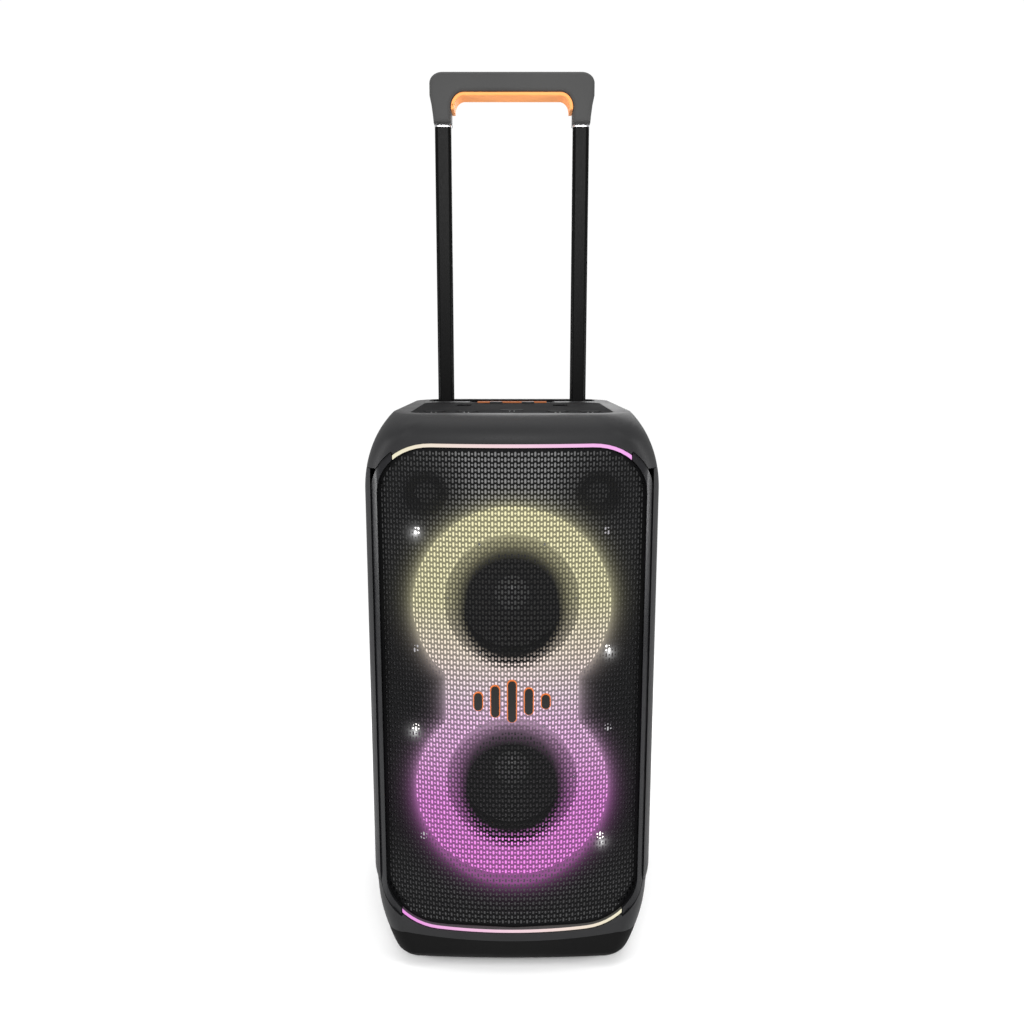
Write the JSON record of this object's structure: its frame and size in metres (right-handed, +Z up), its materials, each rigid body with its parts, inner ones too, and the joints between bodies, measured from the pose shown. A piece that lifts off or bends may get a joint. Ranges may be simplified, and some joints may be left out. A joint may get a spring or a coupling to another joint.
{
  "type": "party speaker",
  "caption": "Upright battery party speaker with a bowed perforated grille over a lit figure-eight ring, wheels at the back and a pull-out trolley handle.",
  "frame": {"origin": "on the floor under the middle of the whole object's bounding box", "axes": "+Z up along the handle, -Y out of the grille, +X to the right as one faces the grille"},
  "size_m": [0.333, 0.373, 1.088],
  "materials": {
    "shell_plastic": "fine-grained moulded ABS, satin",
    "inner_plastic": "plain black ABS",
    "bezel_plastic": "semi-gloss black",
    "grille_metal": "black powder coat on perforated steel",
    "strip_light": "milky light guide, lit",
    "ring_light": "milky diffuser, lit",
    "led_white": "clear lens, lit",
    "circuit_board": "solder mask",
    "badge_dark": "satin black",
    "accent_orange": "satin orange",
    "basket_metal": "black coated steel",
    "surround_rubber": "butyl, satin",
    "cone_paper": "coated fibre",
    "dust_cap_gloss": "satin",
    "spider_cloth": "resin-dipped cloth",
    "magnet_steel": "zinc-plated plates on ferrite",
    "dome_silk": "coated silk",
    "deck_plastic": "fine matt",
    "button_plastic": "soft matt",
    "knob_plastic": "knurled matt",
    "pole_metal": "black anodised tube",
    "collar_metal": "polished",
    "grip_plastic": "soft-touch matt",
    "battery_case": "matt case",
    "tyre_rubber": "moulded rubber",
    "wheel_plastic": "moulded nylon",
    "steel": "bright zinc",
    "foot_rubber": "matt"
  },
  "bodies": {
    "root": {"enclosure": "inner_plastic", "front_baffle": "inner_plastic", "side_panel_left": "shell_plastic", "side_panel_right": "shell_plastic", "top_cap": "shell_plastic", "bottom_cap": "shell_plastic", "rear_cover": "shell_plastic", "grille": "grille_metal", "grille_bezels": "bezel_plastic", "light_strip_top": "strip_light", "light_strip_bottom": "strip_light", "ring_light_diffuser": "ring_light", "ring_light_board": "circuit_board", "strobe_leds": "led_white", "badge_bars": "badge_dark", "badge_outline": "accent_orange", "woofer_baskets": "basket_metal", "woofer_surrounds": "surround_rubber", "woofer_spiders": "spider_cloth", "woofer_magnets": "magnet_steel", "tweeter_frames": "basket_metal", "tweeter_domes": "dome_silk", "bass_port": "inner_plastic", "control_deck": "deck_plastic", "control_board": "circuit_board", "deck_accent": "accent_orange", "grip_well": "deck_plastic", "handle_guides": "inner_plastic", "battery_pack": "battery_case", "battery_tray": "inner_plastic", "io_panel": "deck_plastic", "rear_sockets": "inner_plastic", "electronics_boards": "circuit_board", "axle": "steel", "rubber_feet": "foot_rubber", "screws": "steel"},
    "handle": {"handle_poles": "pole_metal", "pole_collars": "collar_metal", "handle_grip": "grip_plastic", "grip_liner": "accent_orange"},
    "handle_release": {"release_button": "button_plastic"},
    "wheel_left": {"wheel_hub_left": "wheel_plastic", "tyre_left": "tyre_rubber"},
    "wheel_right": {"wheel_hub_right": "wheel_plastic", "tyre_right": "tyre_rubber"},
    "light_key": {"light_button": "button_plastic"},
    "bass_key": {"bass_button": "button_plastic"},
    "play_key": {"play_button": "button_plastic"},
    "pairing_key": {"pairing_button": "button_plastic"},
    "power_key": {"power_button": "button_plastic"},
    "deck_knob_left": {"knob_left": "knob_plastic"},
    "deck_knob_right": {"knob_right": "knob_plastic"},
    "rear_door": {"battery_door": "shell_plastic"},
    "rear_door_latch": {"door_latch": "button_plastic"},
    "rear_knob_left": {"gain_knob_left": "knob_plastic"},
    "rear_knob_right": {"gain_knob_right": "knob_plastic"},
    "driver_upper": {"cone_upper": "cone_paper", "dust_cap_upper": "dust_cap_gloss"},
    "driver_lower": {"cone_lower": "cone_paper", "dust_cap_lower": "dust_cap_gloss"}
  },
  "joints": [
    {"name": "handle_slide", "type": "slide", "parent": "root", "child": "handle", "axis": [0, 0, 1], "range_m": [-0.424, 0]},
    {"name": "release_press", "type": "slide", "parent": "handle", "child": "handle_release", "axis": [0, 0, -1], "range_m": [0, 0.003], "stiffness_N_per_m": 600},
    {"name": "wheel_left_spin", "type": "hinge", "parent": "root", "child": "wheel_left", "pos_m": [-0.1285, 0.144, 0.044], "axis": [1, 0, 0], "continuous": true},
    {"name": "wheel_right_spin", "type": "hinge", "parent": "root", "child": "wheel_right", "pos_m": [0.1285, 0.144, 0.044], "axis": [1, 0, 0], "continuous": true},
    {"name": "light_press", "type": "slide", "parent": "root", "child": "light_key", "axis": [0, 0, -1], "range_m": [0, 0.0015], "stiffness_N_per_m": 400},
    {"name": "bass_press", "type": "slide", "parent": "root", "child": "bass_key", "axis": [0, 0, -1], "range_m": [0, 0.0015], "stiffness_N_per_m": 400},
    {"name": "play_press", "type": "slide", "parent": "root", "child": "play_key", "axis": [0, 0, -1], "range_m": [0, 0.0015], "stiffness_N_per_m": 400},
    {"name": "pairing_press", "type": "slide", "parent": "root", "child": "pairing_key", "axis": [0, 0, -1], "range_m": [0, 0.0015], "stiffness_N_per_m": 400},
    {"name": "power_press", "type": "slide", "parent": "root", "child": "power_key", "axis": [0, 0, -1], "range_m": [0, 0.0015], "stiffness_N_per_m": 400},
    {"name": "deck_knob_left_turn", "type": "hinge", "parent": "root", "child": "deck_knob_left", "pos_m": [-0.021, 0.0575, 0.656], "axis": [0, 0, -1], "range_deg": [-140, 140]},
    {"name": "deck_knob_right_turn", "type": "hinge", "parent": "root", "child": "deck_knob_right", "pos_m": [0.021, 0.0575, 0.656], "axis": [0, 0, -1], "range_deg": [-140, 140]},
    {"name": "battery_door_hinge", "type": "hinge", "parent": "root", "child": "rear_door", "pos_m": [0, 0.1705, 0.113], "axis": [-1, 0, 0], "range_deg": [0, 95]},
    {"name": "door_latch_slide", "type": "slide", "parent": "rear_door", "child": "rear_door_latch", "axis": [0, 0, -1], "range_m": [0, 0.004], "stiffness_N_per_m": 300},
    {"name": "rear_knob_left_turn", "type": "hinge", "parent": "root", "child": "rear_knob_left", "pos_m": [-0.046, 0.1695, 0.394], "axis": [0, -1, 0], "range_deg": [-140, 140]},
    {"name": "rear_knob_right_turn", "type": "hinge", "parent": "root", "child": "rear_knob_right", "pos_m": [-0.018, 0.1695, 0.394], "axis": [0, -1, 0], "range_deg": [-140, 140]},
    {"name": "cone_upper_travel", "type": "slide", "parent": "root", "child": "driver_upper", "axis": [0, -1, 0], "range_m": [-0.005, 0.005], "stiffness_N_per_m": 1500},
    {"name": "cone_lower_travel", "type": "slide", "parent": "root", "child": "driver_lower", "axis": [0, -1, 0], "range_m": [-0.005, 0.005], "stiffness_N_per_m": 1500}
  ]
}
